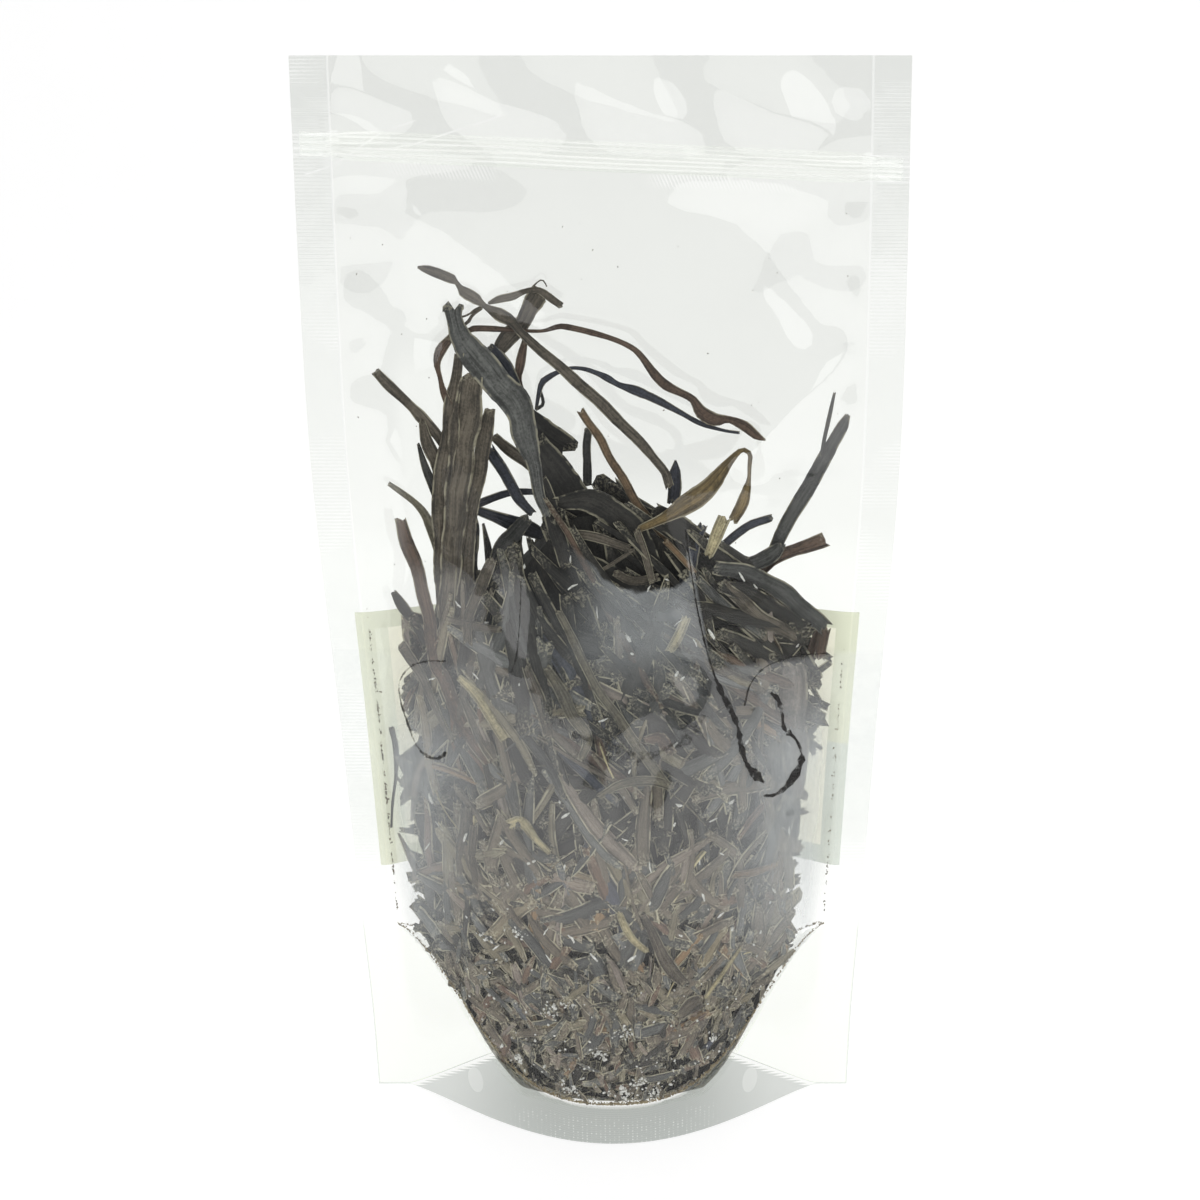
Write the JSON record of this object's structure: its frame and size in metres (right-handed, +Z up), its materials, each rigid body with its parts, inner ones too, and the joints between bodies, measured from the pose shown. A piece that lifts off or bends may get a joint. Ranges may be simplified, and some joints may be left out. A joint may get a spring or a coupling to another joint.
{
  "type": "stand-up pouch of dried sea spaghetti",
  "caption": "Clear stand-up pouch with a press-to-close zip, a paper label on its back and broken strips of dried sea spaghetti inside.",
  "frame": {"origin": "on the table under the middle of the standing pouch", "axes": "+Z up, -Y towards the side without the label, X across the pouch's width"},
  "size_m": [0.1306, 0.0586, 0.235],
  "materials": {
    "clear_film": "clear gloss",
    "label_paper": "matt"
  },
  "bodies": {
    "root": {"pouch": "clear_film", "label": "label_paper"}
  },
  "joints": []
}
